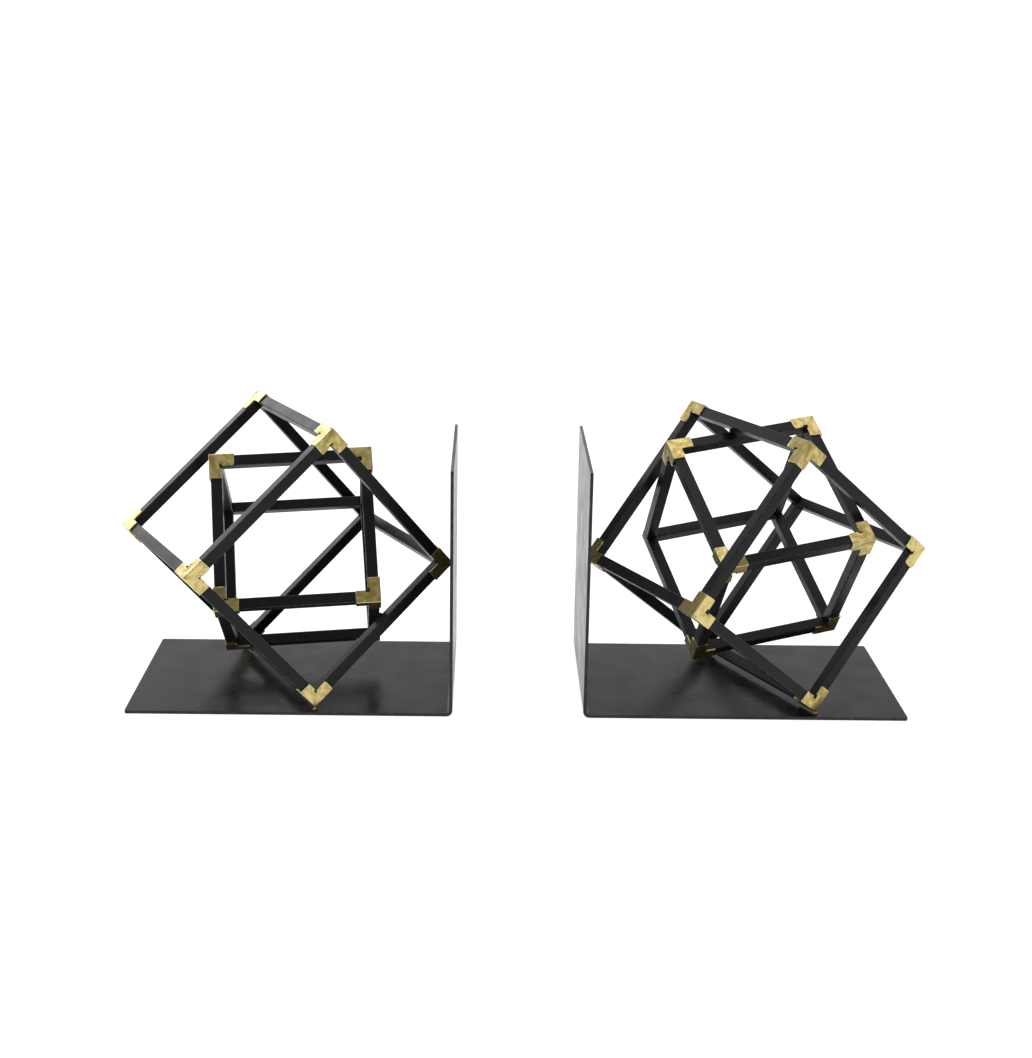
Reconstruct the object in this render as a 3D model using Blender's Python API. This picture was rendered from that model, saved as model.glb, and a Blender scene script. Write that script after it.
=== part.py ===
"""A pair of metal book ends: bent sheet plates that carry interlocked open cubes.

The books stand between the two uprights. Each plate's base runs outwards, away from the books,
and two cubes of square bar stand on it, one through the other. Most cube corners have a thin
folded cap, and a cap that meets the upright is cut flat there. X runs along the row of books, Y
runs away from the viewer and Z is up. The origin is on the table, under the middle of the pair's
bounding box.
"""

import itertools
import math

import bmesh
import bpy
from mathutils import Euler, Matrix, Vector

# Driving dimensions, in metres
SHEET = 0.0016
BASE_LENGTH = 0.164
BASE_DEPTH = 0.1023
UPRIGHT_HEIGHT = 0.1268
BEND_RADIUS = 0.0032
BEND_STEPS = 6
BOOK_SPACE = 0.0656

OUTER_CUBE = 0.100
INNER_CUBE = 0.0805
BAR = 0.0056
BAR_EDGE = 0.0004

CAP_SHEET = 0.0005
CAP_ARM = 0.0128
GAP = 0.0003

# Where each cube stands: its centre in millimetres from its own book end's origin, and its tilt
# about X, then Y, then Z, in degrees
CUBES = {
    "left_outer_cube": (OUTER_CUBE, (-87.7, 0.4, 73.8), (-0.3, -40.1, 28.5)),
    "left_inner_cube": (INNER_CUBE, (-82.5, 5.3, 68.4), (-34.2, -2.2, 6.0)),
    "right_outer_cube": (OUTER_CUBE, (88.0, -5.0, 73.4), (0.0, 39.0, 27.4)),
    "right_inner_cube": (INNER_CUBE, (88.5, 0.1, 80.1), (36.3, -6.4, 16.2)),
}

# The corners that have no cap, by number; corners count up through the signs of X, Y and Z
BARE_CORNERS = {
    "left_outer_cube": (7,),
    "left_inner_cube": (4, 8),
    "right_outer_cube": (8,),
    "right_inner_cube": (3, 7),
}


def clear_scene():
    for item in list(bpy.data.objects):
        bpy.data.objects.remove(item, do_unlink=True)


def make_material(name, colour, roughness, metallic):
    material = bpy.data.materials.new(name)
    material.use_nodes = True
    shader = material.node_tree.nodes["Principled BSDF"]
    shader.inputs["Base Color"].default_value = (*colour, 1.0)
    shader.inputs["Roughness"].default_value = roughness
    shader.inputs["Metallic"].default_value = metallic
    material.diffuse_color = (*colour, 1.0)
    return material


def place(name, data, parent, location=(0, 0, 0), rotation=None):
    """Puts a mesh, or an empty where data is None, under its parent."""
    item = bpy.data.objects.new(name, data)
    bpy.context.scene.collection.objects.link(item)
    item.parent = parent
    item.location = location
    if rotation is not None:
        item.rotation_euler = rotation.to_euler()
    return item


def mesh_from(shape, name, material):
    bmesh.ops.recalc_face_normals(shape, faces=shape.faces)
    mesh = bpy.data.meshes.new(name)
    shape.to_mesh(mesh)
    shape.free()
    mesh.materials.append(material)
    return mesh


def extrude_outline(shape, outline, along):
    """Fills a flat outline and draws it out along a vector."""
    face = shape.faces.new([shape.verts.new(point) for point in outline])
    drawn = bmesh.ops.extrude_face_region(shape, geom=[face])
    moved = [item for item in drawn["geom"] if isinstance(item, bmesh.types.BMVert)]
    bmesh.ops.translate(shape, verts=moved, vec=along)


def soften(item, width):
    """A small chamfer, as the edges of drawn bar have."""
    bevel = item.modifiers.new("edge", "BEVEL")
    bevel.width = width
    bevel.segments = 1
    bevel.limit_method = "ANGLE"
    bevel.angle_limit = math.radians(40)


def bend_arc(radius):
    """Points round the bend, from the underside of the base up to the face of the upright."""
    centre = BEND_RADIUS
    for step in range(BEND_STEPS + 1):
        angle = math.radians(90 * step / BEND_STEPS)
        yield Vector((centre - radius * math.sin(angle), 0, centre - radius * math.cos(angle)))


def plate_mesh(material):
    """One sheet bent once: the base runs along +X and the upright stands at X = 0."""
    outside = list(bend_arc(BEND_RADIUS))
    inside = list(bend_arc(BEND_RADIUS - SHEET))
    outline = [Vector((BASE_LENGTH, 0, 0))] + outside
    outline += [Vector((0, 0, UPRIGHT_HEIGHT)), Vector((SHEET, 0, UPRIGHT_HEIGHT))]
    outline += inside[::-1] + [Vector((BASE_LENGTH, 0, SHEET))]
    shape = bmesh.new()
    extrude_outline(shape, outline, (0, BASE_DEPTH, 0))
    bmesh.ops.translate(shape, verts=shape.verts, vec=(0, -BASE_DEPTH / 2, 0))
    return mesh_from(shape, "plate", material)


def square_frame_mesh(edge, material):
    """A flat square of welded bar, centred on its own origin, with its bars along X and Y."""
    shape = bmesh.new()
    half = edge / 2
    inner = half - BAR
    corners = ((-1, -1), (1, -1), (1, 1), (-1, 1))
    rings = []
    for reach in (half, inner):
        for height in (-BAR / 2, BAR / 2):
            rings.append([shape.verts.new((x * reach, y * reach, height)) for x, y in corners])
    outer_low, outer_high, inner_low, inner_high = rings
    for low, high in ((outer_low, outer_high), (inner_high, inner_low)):
        for n in range(4):
            after = (n + 1) % 4
            shape.faces.new((low[n], low[after], high[after], high[n]))
    for outer, inner_ring in ((outer_high, inner_high), (inner_low, outer_low)):
        for n in range(4):
            after = (n + 1) % 4
            shape.faces.new((outer[n], outer[after], inner_ring[after], inner_ring[n]))
    return mesh_from(shape, "square_frame", material)


def post_mesh(edge, material):
    """A bar between the two square frames, along Z."""
    shape = bmesh.new()
    bmesh.ops.create_cube(shape, size=1)
    length = edge - 2 * BAR - 2 * GAP
    bmesh.ops.scale(shape, vec=(BAR, BAR, length), verts=shape.verts)
    return mesh_from(shape, "post", material)


def corner_cap_mesh(material):
    """A folded sheet corner that runs along -X, -Y and -Z from its outer point, the origin.

    It is built from cells: along each axis, cell 0 is the sheet's own thickness, cell 1 is the
    width of the bar and cell 2 is the rest of the arm. The sheet is every cell with a 0 in it,
    less the ones beyond the bars.
    """
    levels = (0.0, -CAP_SHEET, -(CAP_SHEET + GAP + BAR), -CAP_ARM)

    def filled(cell):
        return min(cell) == 0 and max(cell) <= 2 and cell.count(2) <= 1

    shape = bmesh.new()
    corners = {}

    def corner(index):
        if index not in corners:
            corners[index] = shape.verts.new([levels[n] for n in index])
        return corners[index]

    for cell in itertools.product(range(3), repeat=3):
        for axis, side in itertools.product(range(3), (0, 1)):
            beside = list(cell)
            beside[axis] += 1 if side else -1
            if not filled(cell) or filled(tuple(beside)):
                continue
            first, second = (n for n in range(3) if n != axis)
            ring = []
            for a, b in ((0, 0), (1, 0), (1, 1), (0, 1)):
                index = list(cell)
                index[axis] += side
                index[first] += a
                index[second] += b
                ring.append(corner(tuple(index)))
            shape.faces.new(ring)
    return mesh_from(shape, "corner_cap", material)


def corner_turn(signs):
    """The rotation that takes the (+, +, +) corner of a cube to the corner with these signs."""
    turn = Matrix.Diagonal(Vector(signs))
    if signs[0] * signs[1] * signs[2] < 0:
        turn = turn @ Matrix(((0, 1, 0), (1, 0, 0), (0, 0, 1)))
    return turn


def add_cube(name, parent, meshes, edge, centre_mm, tilt_deg):
    tilt = Euler([math.radians(angle) for angle in tilt_deg]).to_matrix()
    hub = place(name, None, parent, [value / 1000 for value in centre_mm], tilt)
    reach = (edge - BAR) / 2
    for number, side in enumerate((-1, 1), start=1):
        frame = place(f"{name}_square_{number}", meshes[edge]["frame"], hub, (0, 0, side * reach))
        soften(frame, BAR_EDGE)
    for number, (x, y) in enumerate(((-1, -1), (1, -1), (1, 1), (-1, 1)), start=1):
        post = place(f"{name}_post_{number}", meshes[edge]["post"], hub, (x * reach, y * reach, 0))
        soften(post, BAR_EDGE)
    tip = edge / 2 + GAP + CAP_SHEET
    for number, signs in enumerate(itertools.product((-1, 1), repeat=3), start=1):
        if number in BARE_CORNERS[name]:
            continue
        place(f"{name}_cap_{number}", meshes["cap"], hub, tip * Vector(signs), corner_turn(signs))


def trim_at_upright(cap, book_end, sign):
    """Cuts a cap off flat where it would run into the outer face of the upright."""
    to_cap = cap.matrix_world.inverted() @ book_end.matrix_world
    point = to_cap @ Vector((sign * (SHEET + GAP), 0, 0))
    outwards = to_cap.to_3x3() @ Vector((-sign, 0, 0))
    if all((vertex.co - point).dot(outwards) <= 0 for vertex in cap.data.vertices):
        return
    shape = bmesh.new()
    shape.from_mesh(cap.data)
    everything = shape.verts[:] + shape.edges[:] + shape.faces[:]
    cut = bmesh.ops.bisect_plane(
        shape, geom=everything, plane_co=point, plane_no=outwards, clear_outer=True
    )
    rim = [item for item in cut["geom_cut"] if isinstance(item, bmesh.types.BMEdge)]
    bmesh.ops.triangle_fill(shape, edges=rim, use_beauty=True)
    cap.data = mesh_from(shape, "trimmed_cap", cap.data.materials[0])


def centre_on_origin(book_ends):
    """Moves both book ends together until their bounding box is centred on X = 0 and Y = 0."""
    bpy.context.view_layer.update()
    points = [
        item.matrix_world @ vertex.co
        for item in bpy.data.objects
        if item.type == "MESH"
        for vertex in item.data.vertices
    ]
    for axis in (0, 1):
        values = [point[axis] for point in points]
        middle = (min(values) + max(values)) / 2
        for book_end in book_ends:
            book_end.location[axis] -= middle


def main():
    clear_scene()
    coat = make_material("black_powder_coat", (0.022, 0.022, 0.024), 0.55, 0.0)
    dark_bar = make_material("black_coated_bar", (0.016, 0.016, 0.018), 0.5, 0.0)
    brass = make_material("satin_brass", (0.72, 0.52, 0.22), 0.35, 1.0)

    plate = plate_mesh(coat)
    meshes = {"cap": corner_cap_mesh(brass)}
    for edge in (OUTER_CUBE, INNER_CUBE):
        meshes[edge] = {
            "frame": square_frame_mesh(edge, dark_bar),
            "post": post_mesh(edge, dark_bar),
        }

    book_ends = []
    for side, sign in (("left", -1), ("right", 1)):
        book_end = place(f"{side}_book_end", None, None, (sign * BOOK_SPACE / 2, 0, 0))
        book_ends.append(book_end)
        half_turn = Matrix.Rotation(math.pi if sign < 0 else 0.0, 3, "Z")
        place(f"{side}_plate", plate, book_end, rotation=half_turn)
        for name, (edge, centre_mm, tilt_deg) in CUBES.items():
            if name.startswith(side):
                add_cube(name, book_end, meshes, edge, centre_mm, tilt_deg)
        bpy.context.view_layer.update()
        for item in list(bpy.data.objects):
            if item.name.startswith(f"{side}_outer_cube_cap"):
                trim_at_upright(item, book_end, sign)
    centre_on_origin(book_ends)


main()
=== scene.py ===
"""Looks for a pair of metal book ends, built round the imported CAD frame.

Finer pieces stand exactly where the CAD nodes stand: bars with rounded edges and mitred ends,
corner caps folded from thin brass sheet, and plates with a smooth bend. Small beads of weld are
added where the bars of the two cubes cross and where a cube touches its plate.
"""

import math
import random

import bmesh
import bpy
from mathutils import Matrix, Vector, noise


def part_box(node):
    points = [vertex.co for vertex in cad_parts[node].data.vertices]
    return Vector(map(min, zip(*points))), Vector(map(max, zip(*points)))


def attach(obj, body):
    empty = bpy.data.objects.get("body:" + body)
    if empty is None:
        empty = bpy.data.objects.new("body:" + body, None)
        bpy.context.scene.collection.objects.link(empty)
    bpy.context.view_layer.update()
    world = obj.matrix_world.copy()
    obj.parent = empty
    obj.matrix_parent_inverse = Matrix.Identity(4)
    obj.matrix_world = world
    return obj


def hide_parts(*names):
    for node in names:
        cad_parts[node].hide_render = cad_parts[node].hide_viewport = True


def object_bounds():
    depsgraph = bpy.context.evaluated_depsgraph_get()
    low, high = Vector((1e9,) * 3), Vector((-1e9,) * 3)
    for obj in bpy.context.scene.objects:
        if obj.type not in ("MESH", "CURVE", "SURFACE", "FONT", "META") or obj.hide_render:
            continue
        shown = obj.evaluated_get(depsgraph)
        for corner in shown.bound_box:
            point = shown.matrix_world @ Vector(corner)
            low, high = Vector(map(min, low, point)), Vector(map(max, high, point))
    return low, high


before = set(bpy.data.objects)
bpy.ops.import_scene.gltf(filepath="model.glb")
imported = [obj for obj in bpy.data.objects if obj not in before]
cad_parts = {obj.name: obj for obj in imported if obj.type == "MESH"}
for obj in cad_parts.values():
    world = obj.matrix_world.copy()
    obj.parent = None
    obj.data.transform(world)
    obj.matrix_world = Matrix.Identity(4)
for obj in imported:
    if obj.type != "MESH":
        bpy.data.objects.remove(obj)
CAD_BOX = [list(corner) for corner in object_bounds()]

# Clearances and sheet sizes that the CAD model keeps, in metres
GAP = 0.0003
CAP_CLEARANCE = 0.0008
SHEET = 0.0016
BEND_RADIUS = 0.0032

# Fine shape of each kind of piece, in metres
BAR_ROUNDING = 0.0005
SEAM_DEPTH = 0.00008
SEAM_REACH = 0.0003
CAP_STAND_OFF = 0.0007
CAP_SHEET = 0.0006
CAP_RIM = 0.00008
# How strongly the cut rims of a cap's arms take the pale tone: painted highlight together with
# wear, as a share
CAP_RIM_HIGHLIGHT_AND_WEAR = 0.6
CAP_DENT = 0.00007
DENTS_TO_THE_METRE = 260
CAP_END = 0.0004
CAP_END_CHAMFER = 0.0003
FOLD_RADIUS = 0.0004
NOTCH = 0.0010
PLATE_CORNER = 0.0012
PLATE_RIM = 0.0002

# Weld beads: half sizes across, along and out, and the widest gap that a bead still bridges
CROSSING_BEAD = (0.0019, 0.0015, 0.0009)
BASE_BEAD = (0.0012, 0.0010)
BASE_BEAD_RISE = 0.0006
BASE_BEAD_HIGHEST = 0.0013
UPRIGHT_BEAD = (0.0007, 0.0016, 0.0018)
CROSSING_REACH = 0.0007
PLATE_REACH = 0.002

# The cells of a cap's grid that are cut away at the inner corner between two arms
NOTCHES = ((), ((0, 0), (0, 1)), ((0, 0), (1, 0)), ((0, 0), (0, 1), (1, 0)))

# The stretches of a cap's fold that may be left open, as numbers of grid lines from the tip
OPEN_STRETCHES = ((3, 7), (4, 8), (3, 9), (11, 15))

# The floor: its half size, how far it lies below the object, and how strongly it shines by itself,
# so that shadows on it stay faint
FLOOR_HALF_SIZE = 30
FLOOR_DROP = 0.0001
FLOOR_GLOW = 0.84

# Where the sky is brightest; how its strength grows towards there, from a cosine and a strength to
# a cosine and a strength; and its tone by height, as the sine of the elevation and a factor
SKY_LEAN = (-0.45, 0.55, 0.7)
SKY_DIM, SKY_BRIGHT = (-0.25, 0.30), (0.8, 1.5)
SKY_BY_HEIGHT = (
    (0.02, 1.0), (0.08, 0.60), (0.36, 0.62), (0.46, 0.25), (0.66, 0.32), (0.90, 0.75)
)

# What the softboxes are aimed at
MIDDLE = Vector((0, 0, 0.07))

# The camera: its place in metres, how far it looks down and to the right and its roll in degrees,
# and its lens and sensor in millimetres
CAMERA_PLACE = Vector((-0.0173, -0.8122, 0.3275))
CAMERA_DOWN = 16.68
CAMERA_RIGHT = 1.11
CAMERA_ROLL = 0.99
CAMERA_LENS = 55.96
CAMERA_SENSOR = 36


# ---------------------------------------------------------------- places read from the CAD nodes


def face_directions(mesh):
    """The directions that a straight-sided mesh's faces point in, largest total area first."""
    found = []
    for face in mesh.polygons:
        for known in found:
            along = known.dot(face.normal)
            if abs(along) > 0.998 * known.length:
                known += math.copysign(face.area, along) * face.normal
                break
        else:
            found.append(face.area * face.normal)
    return [known.normalized() for known in sorted(found, key=lambda v: -v.length)]


def oriented_box(node):
    """Centre, rotation and half sizes of a straight-sided CAD node; local Z is its widest face."""
    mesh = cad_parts[node].data
    directions = face_directions(mesh)
    z_axis = directions[0]
    x_axis = next(d for d in directions if abs(d.dot(z_axis)) < 0.02)
    x_axis = (x_axis - x_axis.dot(z_axis) * z_axis).normalized()
    turn = Matrix((x_axis, z_axis.cross(x_axis), z_axis)).transposed()
    points = [turn.transposed() @ vertex.co for vertex in mesh.vertices]
    low = Vector([min(p[n] for p in points) for n in range(3)])
    high = Vector([max(p[n] for p in points) for n in range(3)])
    return turn @ ((low + high) / 2), turn, (high - low) / 2


def cap_nodes(cube):
    return sorted(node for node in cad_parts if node.startswith(f"{cube}_cap_"))


def cap_corner(node):
    """The tip of a corner cap and the rotation whose -X, -Y and -Z run along its arms."""
    centre, turn, half = oriented_box(node)
    points = [turn.transposed() @ (v.co - centre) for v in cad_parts[node].data.vertices]
    signs = [math.copysign(1, sum(p[n] for p in points)) for n in range(3)]
    tip = centre + turn @ Vector([sign * size for sign, size in zip(signs, half)])
    axes = [sign * turn.col[n] for n, sign in enumerate(signs)]
    if axes[0].cross(axes[1]).dot(axes[2]) < 0:
        axes[0], axes[1] = axes[1], axes[0]
    return tip, Matrix(axes).transposed()


def at(place, turn=None):
    """The matrix that turns a piece and then puts it at a place."""
    matrix = Matrix.Translation(place)
    return matrix @ turn.to_4x4() if turn is not None else matrix


# ---------------------------------------------------------------- meshes


def finish_mesh(shape, name, material, smooth=True):
    mesh = bpy.data.meshes.new(name)
    shape.to_mesh(mesh)
    shape.free()
    mesh.materials.append(material)
    if smooth:
        mesh.shade_smooth()
    return mesh


def finish_solid(shape, name, material, smooth=True):
    """Finishes a mesh with its faces turned outwards."""
    bmesh.ops.recalc_face_normals(shape, faces=shape.faces)
    return finish_mesh(shape, name, material, smooth)


def rounded_square(width, radius, steps=4):
    """(y, z, wear) round a square with rounded corners; wear is 1 at the middle of each corner."""
    inner = width / 2 - radius
    for quarter in range(4):
        for step in range(steps + 1):
            angle = math.radians(90 * (quarter + step / steps))
            corner = math.radians(90 * quarter + 45)
            y = math.sqrt(2) * inner * math.cos(corner) + radius * math.cos(angle)
            z = math.sqrt(2) * inner * math.sin(corner) + radius * math.sin(angle)
            yield y, z, math.sin(math.pi * step / steps)


def bar_mesh(name, length, width, mitred, material):
    """A square bar along X. Its +Y face is the outer one, so a mitred end is longer there.

    Each station along it is a side, a distance in from that end, and how far the bar draws in
    there to leave a fine seam at the joint.
    """
    stations = [(-1, 0.0, SEAM_DEPTH), (-1, SEAM_REACH, 0.0), (-1, width, 0.0)]
    stations += [(1, width, 0.0), (1, SEAM_REACH, 0.0), (1, 0.0, SEAM_DEPTH)]
    shape = bmesh.new()
    wear_layer = shape.verts.layers.float.new("wear_and_highlight")
    rings = []
    for side, inset, pull in stations:
        shrink = 1 - pull / (width / 2)
        ring = []
        for y, z, wear_and_highlight in rounded_square(width, BAR_ROUNDING):
            reach = length / 2 + (y if mitred else 0.0) - inset
            vertex = shape.verts.new((side * reach, y * shrink, z * shrink))
            vertex[wear_layer] = wear_and_highlight
            ring.append(vertex)
        rings.append(ring)
    for ring, after in zip(rings, rings[1:]):
        for n in range(len(ring)):
            m = (n + 1) % len(ring)
            shape.faces.new((ring[n], ring[m], after[m], after[n]))
    shape.faces.new(rings[0])
    shape.faces.new(rings[-1])
    return finish_solid(shape, name, material)


def cap_levels(width, arm):
    """Distances from the tip at which a cap's grid has lines: close at the fold and at the ends."""
    fold = [FOLD_RADIUS * n / 3 for n in range(4)]
    body = [width * share for share in (0.25, 0.42, 0.58, 0.74)]
    crotch = [width - NOTCH, width]
    beyond = [width + (arm - width) * share for share in (0.2, 0.4, 0.6, 0.8)]
    return fold + body + crotch + beyond + [arm - CAP_END, arm]


def cap_mesh(name, width, arm, material):
    """A corner cap folded from one sheet, its tip at the origin and its arms along -X, -Y and -Z.

    Each of its three faces is an L. The folds are rounded, one fold is left open for a part of its
    length, and every cap differs a little in arm length, squareness, notches and small dents.
    """
    draw = random.Random(name)
    levels = cap_levels(width, arm)
    last = len(levels) - 1
    at_width = levels.index(width)
    stretch = [draw.uniform(-0.06, 0.03) for _ in range(3)]
    skew = [draw.uniform(-0.05, 0.05) for _ in range(3)]
    open_fold = draw.randrange(3)
    open_from, open_to = draw.choice(OPEN_STRETCHES)
    notches = [draw.choice(NOTCHES) for _ in range(3)]
    dent_seed = Vector([draw.uniform(0, 90) for _ in range(3)])

    shape = bmesh.new()
    wear_layer = shape.verts.layers.float.new("wear_and_highlight")
    known = {}

    def corner(index):
        """The vertex at a point of the grid, rounded at the folds and dented a little."""
        if index in known:
            return known[index]
        place = Vector([-levels[n] for n in index])
        for axis in range(3):
            extra = max(0.0, -place[axis] - width)
            others = [n for n in range(3) if n != axis and index[n] > 0]
            lean = sum(skew[axis] * place[n] for n in others)
            place[axis] -= (extra / (arm - width)) * (arm * stretch[axis] + lean)
            if index[axis] == last and any(index[n] == at_width for n in others):
                place[axis] += CAP_END_CHAMFER
        core = Vector([min(value, -FOLD_RADIUS) for value in place])
        out = place - core
        place = core + FOLD_RADIUS * out.normalized()
        dent = CAP_DENT * noise.noise_vector(place * DENTS_TO_THE_METRE + dent_seed)
        vertex = shape.verts.new(place + dent)
        # The wear value of a cap vertex is a painted highlight mask as well as wear: 1 on the
        # folds, a share on the rims
        folds = sorted(out)[1] / FOLD_RADIUS
        rim = CAP_RIM_HIGHLIGHT_AND_WEAR if last in index else 0.0
        vertex[wear_layer] = max(rim, min(1.0, folds))
        known[index] = vertex
        return vertex

    def filled(axis, i, j):
        """Whether the cell from lines (i, j) to (i + 1, j + 1) of the face across axis is sheet."""
        if i >= at_width and j >= at_width:
            return False
        if (i - at_width + 1, j - at_width + 1) in notches[axis]:
            return False
        if axis == open_fold and j < 2 and open_from <= i < open_to:
            return False
        return True

    for axis in range(3):
        first, second = (axis + 1) % 3, (axis + 2) % 3
        for i in range(last):
            for j in range(last):
                if not filled(axis, i, j):
                    continue
                ring = []
                for a, b in ((0, 0), (1, 0), (1, 1), (0, 1)):
                    index = [0, 0, 0]
                    index[first] = i + a
                    index[second] = j + b
                    ring.append(corner(tuple(index)))
                shape.faces.new(ring)
    for face in shape.faces:
        face.normal_update()
        if face.normal.dot(Vector((1, 1, 1))) < 0:
            face.normal_flip()
    return finish_mesh(shape, name, material)


def cut_flat(mesh, matrix, place, outwards):
    """Cuts off the part of a sheet beyond a plane, which is given in the scene's space."""
    to_mesh = matrix.inverted()
    point = to_mesh @ place
    beyond = to_mesh.to_3x3() @ outwards
    if all((vertex.co - point).dot(beyond) <= 0 for vertex in mesh.vertices):
        return
    shape = bmesh.new()
    shape.from_mesh(mesh)
    everything = shape.verts[:] + shape.edges[:] + shape.faces[:]
    bmesh.ops.bisect_plane(
        shape, geom=everything, plane_co=point, plane_no=beyond, clear_outer=True
    )
    shape.to_mesh(mesh)
    shape.free()


def thicken(piece, thickness, rim_rounding):
    """Gives a sheet its thickness, inwards, and softens its cut edges."""
    sheet = piece.modifiers.new("sheet", "SOLIDIFY")
    sheet.thickness = thickness
    sheet.offset = -1
    sheet.use_even_offset = True
    rim = piece.modifiers.new("rim", "BEVEL")
    rim.width = rim_rounding
    rim.segments = 2
    rim.limit_method = "ANGLE"
    rim.angle_limit = math.radians(55)
    weigh_normals(piece)


def weigh_normals(piece):
    """Keeps flat faces flat in shading, so that only the rounded edges catch the light."""
    normals = piece.modifiers.new("normals", "WEIGHTED_NORMAL")
    normals.keep_sharp = True


def plate_mesh(name, length, depth, height, material):
    """The outer surface of a sheet bent once, its base along +X and its upright at X = 0."""
    arc = BEND_RADIUS * math.pi / 2
    straight = length - BEND_RADIUS
    total = straight + arc + height - BEND_RADIUS

    def bent(s):
        """The point of the profile at a distance s from the free end of the base."""
        if s <= straight:
            return length - s, 0.0
        if s <= straight + arc:
            angle = (s - straight) / BEND_RADIUS
            x = BEND_RADIUS * (1 - math.sin(angle))
            return x, BEND_RADIUS * (1 - math.cos(angle))
        return 0.0, BEND_RADIUS + s - straight - arc

    corner = [PLATE_CORNER * (1 - math.cos(math.radians(angle))) for angle in range(0, 91, 15)]
    stations = corner[:]
    stations += [straight * n / 24 for n in range(1, 24)]
    stations += [straight + arc * n / 12 for n in range(13)]
    rise = total - straight - arc
    stations += [straight + arc + rise * n / 18 for n in range(1, 18)]
    stations += [total - inset for inset in reversed(corner)]

    shape = bmesh.new()
    wear_layer = shape.verts.layers.float.new("wear_and_highlight")
    rows = []
    across = [-1, -0.985, -0.8, -0.6, -0.4, -0.2, 0, 0.2, 0.4, 0.6, 0.8, 0.985, 1]
    for s in stations:
        into = min(s, total - s)
        reach = depth / 2
        if into < PLATE_CORNER:
            reach -= PLATE_CORNER - math.sqrt(PLATE_CORNER**2 - (PLATE_CORNER - into) ** 2)
        x, z = bent(s)
        row = []
        for share in across:
            vertex = shape.verts.new((x, share * reach, z))
            vertex[wear_layer] = 1.0 if abs(share) == 1 or into == 0 else 0.0
            row.append(vertex)
        rows.append(row)
    for row, after in zip(rows, rows[1:]):
        for n in range(len(row) - 1):
            shape.faces.new((row[n], row[n + 1], after[n + 1], after[n]))
    bmesh.ops.recalc_face_normals(shape, faces=shape.faces)
    shape.faces.ensure_lookup_table()
    if shape.faces[len(shape.faces) // 4].normal.z > 0:
        bmesh.ops.reverse_faces(shape, faces=shape.faces)
    return finish_mesh(shape, name, material)


def bead_mesh(name, size, material):
    """A lump of weld, as wide and as high as size says."""
    draw = random.Random(name)
    seed = Vector([draw.uniform(0, 90) for _ in range(3)])
    shape = bmesh.new()
    bmesh.ops.create_icosphere(shape, subdivisions=4, radius=1)
    for vertex in shape.verts:
        ripple = 0.13 * noise.noise(vertex.co * 2.1 + seed)
        vertex.co = Vector([value * (1 + ripple) * s for value, s in zip(vertex.co, size)])
    return finish_solid(shape, name, material)


# ---------------------------------------------------------------- materials


class Look:
    """A Principled material and short ways to add and join its nodes."""

    def __init__(self, name, metallic):
        self.material = bpy.data.materials.new(name)
        self.material.use_nodes = True
        self.tree = self.material.node_tree
        self.shader = self.tree.nodes["Principled BSDF"]
        self.shader.inputs["Metallic"].default_value = metallic
        self.place = self.add("ShaderNodeTexCoord").outputs["Object"]

    def add(self, kind, **settings):
        node = self.tree.nodes.new(kind)
        for key, value in settings.items():
            setattr(node, key, value)
        return node

    def feed(self, socket, value):
        """Joins a socket to another node's output, or sets it."""
        if isinstance(value, bpy.types.NodeSocket):
            self.tree.links.new(value, socket)
        else:
            socket.default_value = value

    def noise(self, scale, detail=2.0, stretch=(1, 1, 1)):
        """Noise with this many features to the metre, drawn out along an axis if asked."""
        mapping = self.add("ShaderNodeMapping")
        self.feed(mapping.inputs["Vector"], self.place)
        mapping.inputs["Scale"].default_value = stretch
        texture = self.add("ShaderNodeTexNoise")
        self.feed(texture.inputs["Vector"], mapping.outputs["Vector"])
        texture.inputs["Scale"].default_value = scale
        texture.inputs["Detail"].default_value = detail
        return texture.outputs["Fac"]

    def specks(self, scale, size):
        """1 inside small sparse dots, 0 elsewhere."""
        texture = self.add("ShaderNodeTexVoronoi")
        self.feed(texture.inputs["Vector"], self.place)
        texture.inputs["Scale"].default_value = scale
        return self.ramp(texture.outputs["Distance"], size, size * 0.6, 0.0, 1.0)

    def attribute(self, name):
        return self.add("ShaderNodeAttribute", attribute_name=name).outputs["Fac"]

    def own_number(self):
        """A number from 0 to 1 that differs from piece to piece."""
        return self.add("ShaderNodeObjectInfo").outputs["Random"]

    def ramp(self, value, low, high, to_low, to_high):
        node = self.add("ShaderNodeMapRange", clamp=True)
        self.feed(node.inputs["Value"], value)
        for key, number in (
            ("From Min", low), ("From Max", high), ("To Min", to_low), ("To Max", to_high)
        ):
            self.feed(node.inputs[key], number)
        return node.outputs["Result"]

    def maths(self, operation, a, b):
        node = self.add("ShaderNodeMath", operation=operation)
        self.feed(node.inputs[0], a)
        self.feed(node.inputs[1], b)
        return node.outputs["Value"]

    def blend(self, share, a, b):
        node = self.add("ShaderNodeMix", data_type="RGBA")
        self.feed(node.inputs["Factor"], share)
        self.feed(node.inputs["A"], (*a, 1) if isinstance(a, tuple) else a)
        self.feed(node.inputs["B"], (*b, 1) if isinstance(b, tuple) else b)
        return node.outputs["Result"]

    def bump(self, height, distance, strength=1.0, under=None):
        node = self.add("ShaderNodeBump")
        self.feed(node.inputs["Height"], height)
        node.inputs["Distance"].default_value = distance
        node.inputs["Strength"].default_value = strength
        if under is not None:
            self.feed(node.inputs["Normal"], under)
        return node.outputs["Normal"]

    def finish(self, colour, roughness, normal):
        self.feed(self.shader.inputs["Base Color"], colour)
        self.feed(self.shader.inputs["Roughness"], roughness)
        self.feed(self.shader.inputs["Normal"], normal)
        return self.material


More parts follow.
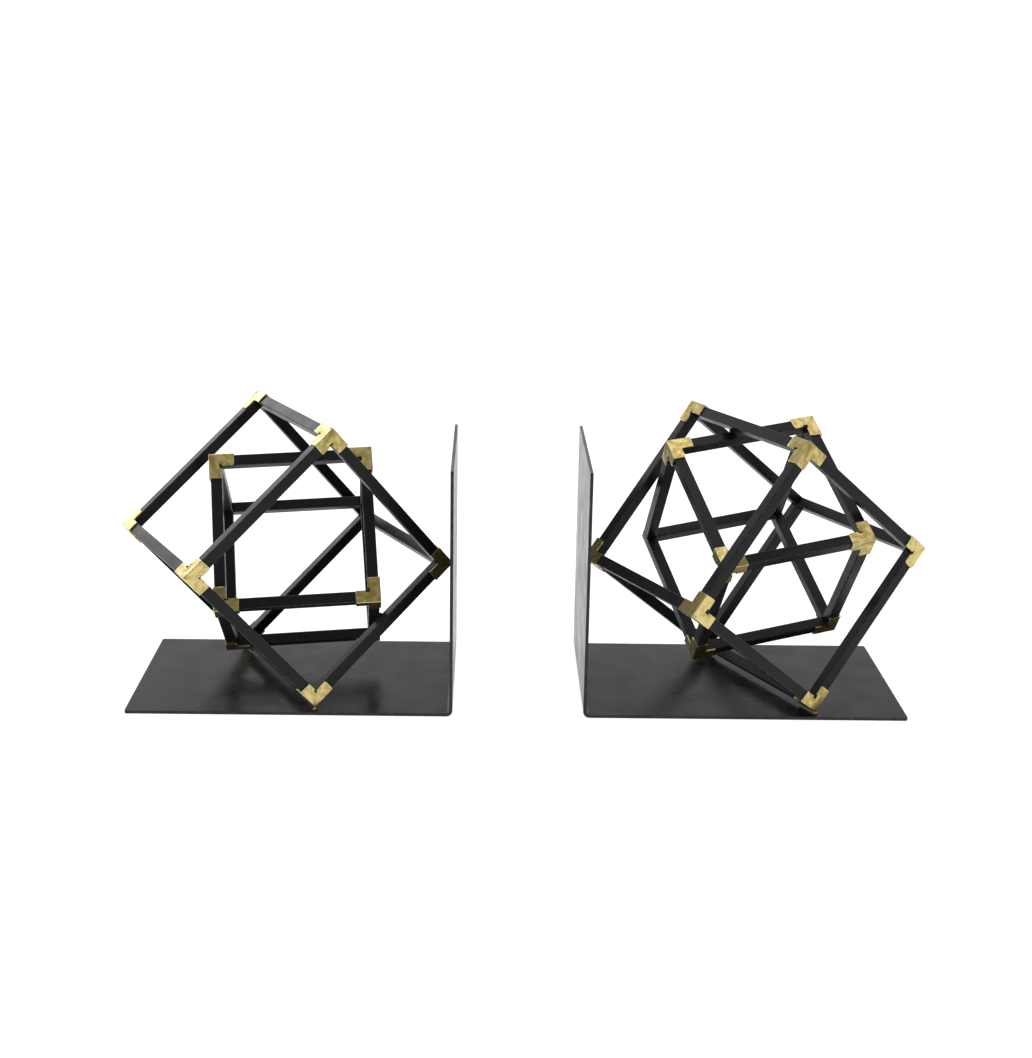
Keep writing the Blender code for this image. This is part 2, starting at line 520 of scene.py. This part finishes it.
def powder_coat(name, dark, pale, worn, ior, rough, relief):
    """Black powder coat: fine orange peel, cloudy gloss, dust specks and edges rubbed paler."""
    look = Look(name, metallic=0.0)
    look.shader.inputs["IOR"].default_value = ior
    clouds = look.noise(28, detail=3)
    grain = look.noise(2600, detail=2)
    rubs = look.noise(420, detail=4)
    colour = look.blend(look.ramp(clouds, 0.35, 0.65, 0, 1), dark, pale)
    colour = look.blend(look.ramp(grain, 0.60, 0.75, 0, 0.35), colour, worn)
    edge = look.maths("MULTIPLY", look.attribute("wear_and_highlight"), look.ramp(rubs, 0.42, 0.66, 0.05, 0.8))
    colour = look.blend(edge, colour, worn)
    dust = look.specks(160, 0.0011)
    colour = look.blend(look.maths("MULTIPLY", dust, 0.5), colour, worn)
    smears = look.ramp(look.noise(60, detail=4), 0.35, 0.7, rough - 0.05, rough + 0.07)
    roughness = look.maths("ADD", smears, look.ramp(grain, 0.3, 0.7, -0.04, 0.04))
    peel = look.bump(look.noise(1500, detail=1), 0.00002, 0.6 * relief)
    normal = look.bump(grain, 0.000008, 0.5 * relief, under=peel)
    return look.finish(colour, roughness, normal)


def satin_brass(name):
    """Thin brass sheet: brushed, browned in patches by old lacquer, and pale along its folds and
    rims as painted highlight that also stands for wear there.
    """
    look = Look(name, metallic=1.0)
    bright, deep = (0.62, 0.51, 0.215), (0.40, 0.31, 0.105)
    brown, rubbed_and_highlit = (0.15, 0.10, 0.03), (0.95, 0.86, 0.55)
    patches = look.noise(300, detail=4)
    brushed = look.noise(500, detail=3, stretch=(1.0, 7.0, 7.0))
    fine = look.noise(3000, detail=2)
    own = look.ramp(look.own_number(), 0, 1, -0.08, 0.08)
    colour = look.blend(look.ramp(look.maths("ADD", patches, own), 0.40, 0.60, 0, 1), bright, deep)
    stain = look.ramp(look.noise(210, detail=6), 0.54, 0.70, 0, 0.5)
    colour = look.blend(stain, colour, brown)
    # Painted highlight: a pale tone along every fold and rim, partly wear on the brass and partly
    # the bright lines of light that the folds catch
    fold_highlight_and_rub = look.maths("MULTIPLY", look.attribute("wear_and_highlight"), 0.8)
    colour = look.blend(fold_highlight_and_rub, colour, rubbed_and_highlit)
    roughness = look.maths("ADD", look.ramp(patches, 0.3, 0.7, 0.22, 0.36),
                           look.ramp(brushed, 0.3, 0.7, -0.05, 0.08))
    roughness = look.maths("ADD", roughness, look.maths("MULTIPLY", stain, 0.2))
    hammered = look.bump(look.noise(240, detail=1), 0.0001, 0.35)
    scratched = look.bump(brushed, 0.00001, 0.5, under=hammered)
    normal = look.bump(fine, 0.000005, 0.5, under=scratched)
    return look.finish(colour, roughness, normal)


PLATE_COAT = powder_coat(
    "plate_powder_coat",
    dark=(0.009, 0.009, 0.010), pale=(0.019, 0.019, 0.020), worn=(0.04, 0.04, 0.042),
    ior=1.33, rough=0.28, relief=0.08,
)
BAR_COAT = powder_coat(
    "bar_powder_coat",
    dark=(0.005, 0.005, 0.006), pale=(0.011, 0.011, 0.013), worn=(0.07, 0.07, 0.075),
    ior=1.29, rough=0.36, relief=0.8,
)
BRASS = satin_brass("satin_brass")


# ---------------------------------------------------------------- pieces


def add_piece(name, mesh, matrix, body, stands_for=()):
    piece = bpy.data.objects.new(name, mesh)
    bpy.context.scene.collection.objects.link(piece)
    piece.matrix_world = matrix
    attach(piece, body)
    if stands_for:
        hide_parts(*stands_for)
    return piece


BAR_MESHES = {}


def bar_piece(name, matrix, length, width, mitred, body, node):
    key = (round(length, 5), mitred)
    if key not in BAR_MESHES:
        kind = "mitred" if mitred else "square"
        mesh_name = f"bar_{kind}_{1000 * length:.0f}mm"
        BAR_MESHES[key] = bar_mesh(mesh_name, length, width, mitred, BAR_COAT)
    piece = add_piece(name, BAR_MESHES[key], matrix, body, [node])
    weigh_normals(piece)
    return piece


def add_cube(cube, body, upright):
    """The bars and caps of one cube. Returns its bars as (centre, turn, half length).

    The upright is given as a point and a direction, for the cap that is cut off flat against it.
    """
    bars = []
    squares = [oriented_box(f"{cube}_square_{number}") for number in (1, 2)]
    edge = 2 * squares[0][2].x
    width = 2 * squares[0][2].z
    for number, (centre, turn, _) in enumerate(squares, start=1):
        for side in range(4):
            about = turn @ Matrix.Rotation(math.radians(90 * side), 3, "Z")
            middle = centre + about @ Vector((0, (edge - width) / 2, 0))
            name = f"{cube}_square_{number}_bar_{side + 1}"
            node = f"{cube}_square_{number}"
            bar_piece(name, at(middle, about), edge - width, width, True, body, node)
            bars.append((middle, about, edge / 2))
    to_x = Matrix(((0, 0, 1), (1, 0, 0), (0, 1, 0))).transposed()
    for number in range(1, 5):
        node = f"{cube}_post_{number}"
        centre, turn, half = oriented_box(node)
        longest = max(range(3), key=lambda n: half[n])
        swing = {0: Matrix.Identity(3), 1: Matrix.Rotation(math.pi / 2, 3, "Z"),
                 2: Matrix.Rotation(-math.pi / 2, 3, "Y")}[longest]
        about = turn @ swing
        bar_piece(f"{node}_bar", at(centre, about), edge - 2 * width, width, False, body, node)
        bars.append((centre, about, edge / 2))
    for node in cap_nodes(cube):
        tip, turn = cap_corner(node)
        arm = 2 * max(oriented_box(node)[2])
        drop = CAP_CLEARANCE - CAP_STAND_OFF
        mesh = cap_mesh(f"{node}_sheet", width + CAP_STAND_OFF, arm - drop, BRASS)
        place = tip - drop * (turn @ Vector((1, 1, 1)))
        cut_flat(mesh, at(place, turn), *upright)
        piece = add_piece(f"{node}_sheet", mesh, at(place, turn), body, [node])
        thicken(piece, CAP_SHEET, CAP_RIM)
    return bars, width


def closest_points(bar_a, bar_b):
    """The closest points of two bars' centre lines."""
    (place_a, turn_a, half_a), (place_b, turn_b, half_b) = bar_a, bar_b
    a, b = turn_a.col[0], turn_b.col[0]
    apart = place_a - place_b
    slope = a.dot(b)
    spread = 1 - slope * slope
    if spread < 1e-4:
        return None
    s = (slope * b.dot(apart) - a.dot(apart)) / spread
    s = max(-half_a, min(half_a, s))
    t = max(-half_b, min(half_b, (place_a + s * a - place_b).dot(b)))
    s = max(-half_a, min(half_a, (place_b + t * b - place_a).dot(a)))
    return place_a + s * a, place_b + t * b


def reach_towards(bar, direction, width):
    """How far a bar's side lies from its centre line in a direction across it."""
    _, turn, _ = bar
    return width / 2 * (abs(turn.col[1].dot(direction)) + abs(turn.col[2].dot(direction)))


def weld_cubes(side, outer, inner, width, body):
    """Beads of weld wherever a bar of one cube lies against a bar of the other."""
    count = 0
    for bar_a in outer:
        for bar_b in inner:
            pair = closest_points(bar_a, bar_b)
            if pair is None:
                continue
            across = pair[1] - pair[0]
            gap = across.length
            direction = across.normalized()
            gap -= reach_towards(bar_a, direction, width) + reach_towards(bar_b, direction, width)
            if gap > CROSSING_REACH:
                continue
            count += 1
            name = f"{side}_cube_weld_{count}"
            middle = pair[0] + direction * (reach_towards(bar_a, direction, width) + gap / 2)
            turn = direction.to_track_quat("Z", "Y").to_matrix()
            mesh = bead_mesh(name, CROSSING_BEAD, BAR_COAT)
            add_piece(name, mesh, at(middle, turn), body)


def add_plate(side, body):
    node = f"{side}_plate"
    low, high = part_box(node)
    length, depth, height = high - low
    mesh = plate_mesh(f"{side}_plate_sheet", length, depth, height, PLATE_COAT)
    heel = high.x if side == "left" else low.x
    turn = Matrix.Rotation(math.pi if side == "left" else 0.0, 3, "Z")
    matrix = at(Vector((heel, (low.y + high.y) / 2, low.z)), turn)
    piece = add_piece(f"{side}_plate_sheet", mesh, matrix, body, [node])
    thicken(piece, SHEET, PLATE_RIM)
    return heel


def weld_to_plate(side, cube, heel, body):
    """Brass beads under the caps that touch the base, partly braze and partly a painted reflection
    of the caps in the base, and a coated one at the upright.
    """
    inward = -1 if side == "left" else 1
    for node in cap_nodes(cube):
        tip, turn = cap_corner(node)
        name = f"{side}_plate_weld_{node[-1]}"
        if tip.z < SHEET + PLATE_REACH:
            rise = min(BASE_BEAD_RISE + tip.z - SHEET, BASE_BEAD_HIGHEST)
            # The bead is brass so that it shows as a small brass spot under the tip: partly a braze
            # bead, partly a painted reflection of the cap in the base
            mesh = bead_mesh(name, (*BASE_BEAD, rise), BRASS)
            add_piece(name, mesh, at(Vector((tip.x, tip.y, SHEET))), body)
        if abs(tip.x - heel) < SHEET + PLATE_REACH:
            mesh = bead_mesh(name, UPRIGHT_BEAD, PLATE_COAT)
            face = heel + inward * SHEET
            add_piece(name, mesh, at(Vector((face, tip.y, tip.z))), body)


for side in ("left", "right"):
    body = f"{side}_book_end"
    heel = add_plate(side, body)
    inward = -1 if side == "left" else 1
    upright = (Vector((heel + inward * (SHEET + GAP), 0, 0)), Vector((-inward, 0, 0)))
    outer, width = add_cube(f"{side}_outer_cube", body, upright)
    inner, _ = add_cube(f"{side}_inner_cube", body, upright)
    weld_cubes(side, outer, inner, width, body)
    weld_to_plate(side, f"{side}_outer_cube", heel, body)


# ---------------------------------------------------------------- stage


def add_floor():
    """A pale floor, faintly lit from below and seamless out to the horizon."""
    shape = bmesh.new()
    bmesh.ops.create_grid(shape, x_segments=1, y_segments=1, size=FLOOR_HALF_SIZE)
    look = Look("pale_floor", metallic=0.0)
    tone = look.blend(look.ramp(look.noise(3, detail=2), 0.4, 0.6, 0, 1), (0.49,) * 3, (0.51,) * 3)
    look.shader.inputs["Emission Color"].default_value = (1, 1, 1, 1)
    look.shader.inputs["Emission Strength"].default_value = FLOOR_GLOW
    look.finish(tone, 0.85, look.bump(look.noise(400, detail=2), 0.00002, 0.2))
    floor = bpy.data.objects.new("floor", finish_solid(shape, "floor", look.material, smooth=False))
    floor.location.z = CAD_BOX[0][2] - FLOOR_DROP
    bpy.context.scene.collection.objects.link(floor)


def add_sky():
    """A white tent: bright at the horizon and overhead, dimmer between and on the viewer's side."""
    world = bpy.data.worlds.new("white_tent")
    bpy.context.scene.world = world
    world.use_nodes = True
    tree = world.node_tree
    background = tree.nodes["Background"]
    background.inputs["Color"].default_value = (1, 1, 1, 1)
    where = tree.nodes.new("ShaderNodeTexCoord")
    lean = tree.nodes.new("ShaderNodeVectorMath")
    lean.operation = "DOT_PRODUCT"
    lean.inputs[1].default_value = Vector(SKY_LEAN).normalized()
    share = tree.nodes.new("ShaderNodeMapRange")
    for end, (cosine, strength) in (("Min", SKY_DIM), ("Max", SKY_BRIGHT)):
        share.inputs[f"From {end}"].default_value = cosine
        share.inputs[f"To {end}"].default_value = strength
    split = tree.nodes.new("ShaderNodeSeparateXYZ")
    rise = tree.nodes.new("ShaderNodeValToRGB")
    ramp = rise.color_ramp
    for height, tone in SKY_BY_HEIGHT:
        stop = ramp.elements.new(height)
        stop.color = (tone, tone, tone, 1)
    ramp.elements.remove(ramp.elements[0])
    ramp.elements.remove(ramp.elements[-1])
    times = tree.nodes.new("ShaderNodeMath")
    times.operation = "MULTIPLY"
    tree.links.new(where.outputs["Generated"], lean.inputs[0])
    tree.links.new(where.outputs["Generated"], split.inputs["Vector"])
    tree.links.new(lean.outputs["Value"], share.inputs["Value"])
    tree.links.new(split.outputs["Z"], rise.inputs["Fac"])
    tree.links.new(share.outputs["Result"], times.inputs[0])
    tree.links.new(rise.outputs["Color"], times.inputs[1])
    tree.links.new(times.outputs["Value"], background.inputs["Strength"])


def add_softbox(name, place, size, power, shadow=True):
    """A square softbox aimed at the middle of the object, with or without shadows from it."""
    lamp = bpy.data.lights.new(name, "AREA")
    lamp.shape = "SQUARE"
    lamp.size = size
    lamp.energy = power
    lamp.use_shadow = shadow
    item = bpy.data.objects.new(name, lamp)
    item.location = place
    aim = MIDDLE - Vector(place)
    item.rotation_euler = aim.to_track_quat("-Z", "Y").to_euler()
    bpy.context.scene.collection.objects.link(item)


def add_camera():
    camera = bpy.data.objects.new("camera", bpy.data.cameras.new("camera"))
    camera.data.lens = CAMERA_LENS
    camera.data.sensor_width = CAMERA_SENSOR
    turn = Matrix.Rotation(math.radians(-CAMERA_RIGHT), 3, "Z")
    turn = turn @ Matrix.Rotation(math.radians(90 - CAMERA_DOWN), 3, "X")
    turn = turn @ Matrix.Rotation(math.radians(CAMERA_ROLL), 3, "Z")
    camera.matrix_world = at(CAMERA_PLACE, turn)
    bpy.context.scene.collection.objects.link(camera)
    bpy.context.scene.camera = camera


add_floor()
add_sky()
add_softbox("softbox_above", (-0.1, 0.25, 1.4), size=1.2, power=3.5)
add_softbox("softbox_left", (-0.95, 1.25, 0.63), size=0.6, power=3.6, shadow=False)
add_camera()
bpy.context.scene.view_settings.view_transform = "Standard"
